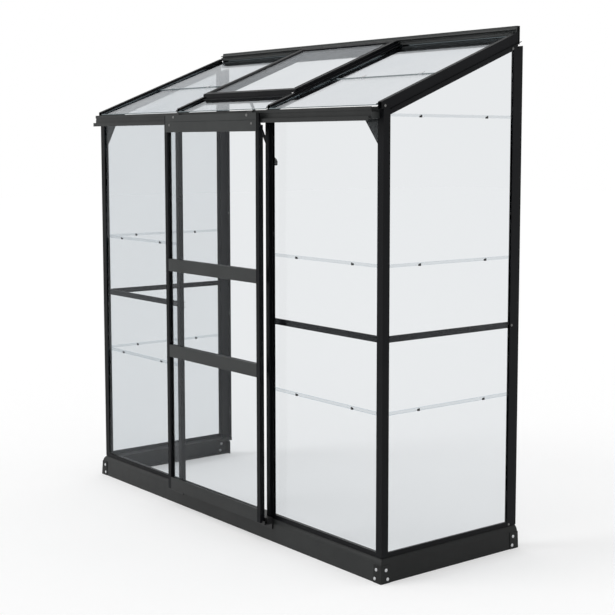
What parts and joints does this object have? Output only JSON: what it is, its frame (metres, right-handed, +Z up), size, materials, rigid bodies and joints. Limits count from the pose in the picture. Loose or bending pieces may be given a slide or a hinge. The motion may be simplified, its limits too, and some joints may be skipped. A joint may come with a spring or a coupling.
{
  "type": "lean-to greenhouse",
  "caption": "Wall-side greenhouse with a lean-to glass roof, lapped panes, a sliding front door on a gutter track and a hinged roof vent.",
  "frame": {"origin": "middle of the outline on the ground, under the plinth", "axes": "+X along the front to the right seen from the front, +Y into the house wall, +Z up; the door faces -Y"},
  "size_m": [1.93, 0.723, 1.912],
  "materials": {
    "coated_black": "satin powder coat, near black",
    "coated_grey": "satin powder coat, dark grey",
    "coated_plinth": "satin powder coat, dark grey",
    "clear_glass": "clear horticultural glass",
    "black_plastic": "moulded nylon",
    "zinc": "zinc plated"
  },
  "bodies": {
    "house": {"corner_bracket_front_left": "coated_plinth", "corner_bracket_front_right": "coated_plinth", "corner_bracket_rear_left": "coated_plinth", "corner_bracket_rear_right": "coated_plinth", "corner_post_left": "coated_black", "corner_post_right": "coated_black", "door_guides": "black_plastic", "door_post_left": "coated_black", "door_post_right": "coated_black", "eave_gutter": "coated_grey", "glass_front_left": "clear_glass", "glass_front_right": "clear_glass", "glass_roof_left": "clear_glass", "glass_roof_right": "clear_glass", "glass_roof_strip": "clear_glass", "glass_side_left": "clear_glass", "glass_side_right": "clear_glass", "gusset_left": "coated_grey", "gusset_right": "coated_grey", "gutter_end_cap_left": "coated_grey", "gutter_end_cap_right": "coated_grey", "rafter_gable_left": "coated_black", "rafter_gable_right": "coated_black", "rafter_left": "coated_black", "rafter_right": "coated_black", "rail_front_left": "coated_black", "rail_front_right": "coated_black", "rail_side_left": "coated_black", "rail_side_right": "coated_black", "ridge_bar": "coated_black", "sill_front": "coated_plinth", "sill_left": "coated_plinth", "sill_right": "coated_plinth", "vent_sill_bar": "coated_black", "wall_post_left": "coated_black", "wall_post_right": "coated_black"},
    "door": {"door_header": "coated_grey", "door_rail_bottom": "coated_grey", "door_rail_lower": "coated_grey", "door_rail_upper": "coated_grey", "door_stile_left": "coated_black", "door_stile_right": "coated_black", "door_wheel_axles": "zinc", "glass_door_lower": "clear_glass", "glass_door_middle": "clear_glass", "glass_door_upper": "clear_glass"},
    "wheel_right": {"door_wheel_right": "black_plastic"},
    "wheel_left": {"door_wheel_left": "black_plastic"},
    "vent": {"glass_vent": "clear_glass", "vent_bottom_rail": "coated_black", "vent_hinge_rail": "coated_black", "vent_side_left": "coated_black", "vent_side_right": "coated_black"},
    "stay": {"vent_stay": "coated_black"}
  },
  "joints": [
    {"name": "door_slide", "type": "slide", "parent": "house", "child": "door", "axis": [1, 0, 0], "range_m": [-0.595, 0.595]},
    {"name": "wheel_right_turn", "type": "hinge", "parent": "door", "child": "wheel_right", "pos_m": [0.252, -0.34625, 1.59605], "axis": [0, 1, 0], "continuous": true},
    {"name": "wheel_left_turn", "type": "hinge", "parent": "door", "child": "wheel_left", "pos_m": [-0.252, -0.34625, 1.59605], "axis": [0, 1, 0], "continuous": true},
    {"name": "vent_hinge", "type": "hinge", "parent": "house", "child": "vent", "pos_m": [0, 0.338, 1.89455], "axis": [-1, 0, 0], "range_deg": [0, 32]},
    {"name": "stay_hinge", "type": "hinge", "parent": "vent", "child": "stay", "pos_m": [0, -0.1705, 1.67826], "axis": [-1, 0, 0], "range_deg": [-17, 2]}
  ],
  "couplings": [
    {"joint": "wheel_right_turn", "follows": "door_slide", "rad_per_m": 71.429},
    {"joint": "wheel_left_turn", "follows": "door_slide", "rad_per_m": 71.429},
    {"joint": "stay_hinge", "follows": "vent_hinge", "ratio": -0.5}
  ]
}
